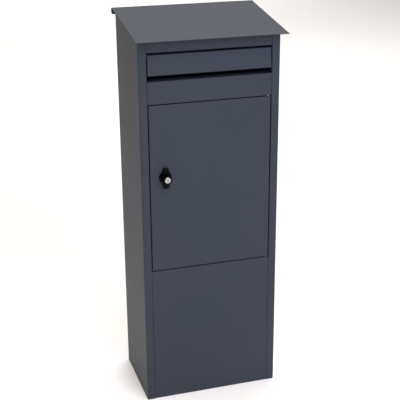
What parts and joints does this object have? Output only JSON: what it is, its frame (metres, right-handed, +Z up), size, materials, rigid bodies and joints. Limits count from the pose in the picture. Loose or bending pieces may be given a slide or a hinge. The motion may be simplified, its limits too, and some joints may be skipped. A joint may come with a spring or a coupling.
{
  "type": "parcel drop box",
  "caption": "Free-standing sheet-steel parcel and letter box with a sloping roof, a top-hinged letter flap, a lockable parcel door on a closed plinth, and a wing knob with a key cylinder.",
  "frame": {"origin": "on the floor at the centre of the body's 390 x 250 mm footprint, on the underside of the base plate", "axes": "+Z up, -Y towards the front (door and flap), +X to the right seen from the front"},
  "size_m": [0.411, 0.286, 1.097],
  "materials": {
    "painted_steel": "anthracite fine-texture powder coat, satin",
    "black_metal": "black coated zinc die casting, semi-gloss",
    "chrome": "nickel-plated lock cylinder, bright",
    "zinc_steel": "bright zinc plated steel",
    "black_plastic": "black polyethylene plugs and acetal bushes",
    "rubber": "black rubber, matt"
  },
  "bodies": {
    "cabinet": {"side_panel_left": "painted_steel", "side_panel_right": "painted_steel", "back_panel": "painted_steel", "base_plate": "painted_steel", "lower_front_panel": "painted_steel", "middle_rail": "painted_steel", "top_fascia": "painted_steel", "roof_cover": "painted_steel", "compartment_floor": "painted_steel", "letter_chute": "painted_steel", "strike_plate": "zinc_steel", "roof_nut_front_left": "zinc_steel", "roof_nut_front_right": "zinc_steel", "roof_nut_rear_left": "zinc_steel", "roof_nut_rear_right": "zinc_steel", "wall_hole_plug_upper_left": "black_plastic", "wall_hole_plug_upper_right": "black_plastic", "wall_hole_plug_lower_left": "black_plastic", "wall_hole_plug_lower_right": "black_plastic", "door_buffer_upper_left": "rubber", "door_buffer_upper_right": "rubber", "door_buffer_lower_left": "rubber", "door_buffer_lower_right": "rubber", "lower_hinge_pin": "zinc_steel", "upper_hinge_pin": "zinc_steel", "flap_bush_left": "black_plastic", "flap_bush_right": "black_plastic", "flap_buffer_left": "rubber", "flap_buffer_right": "rubber"},
    "door": {"door_panel": "painted_steel", "door_stiffener": "painted_steel", "lower_hinge_bush": "black_plastic", "upper_hinge_bush": "black_plastic", "lock_body": "black_metal", "lock_nut": "zinc_steel"},
    "knob": {"lock_knob": "black_metal", "lock_cam": "zinc_steel", "cam_screw": "zinc_steel"},
    "key": {"key_plug": "chrome"},
    "flap": {"letter_flap": "painted_steel", "flap_pin_left": "zinc_steel", "flap_pin_right": "zinc_steel"}
  },
  "joints": [
    {"name": "door_hinge", "type": "hinge", "parent": "cabinet", "child": "door", "pos_m": [0.164, -0.119, 0.64], "axis": [0, 0, 1], "range_deg": [0, 105]},
    {"name": "flap_hinge", "type": "hinge", "parent": "cabinet", "child": "flap", "pos_m": [0, -0.114, 1.001], "axis": [-1, 0, 0], "range_deg": [0, 70]},
    {"name": "knob_turn", "type": "hinge", "parent": "door", "child": "knob", "pos_m": [-0.129, -0.125, 0.677], "axis": [0, -1, 0], "range_deg": [0, 90]},
    {"name": "key_turn", "type": "hinge", "parent": "knob", "child": "key", "pos_m": [-0.129, -0.145, 0.677], "axis": [0, 1, 0], "range_deg": [0, 90]}
  ]
}
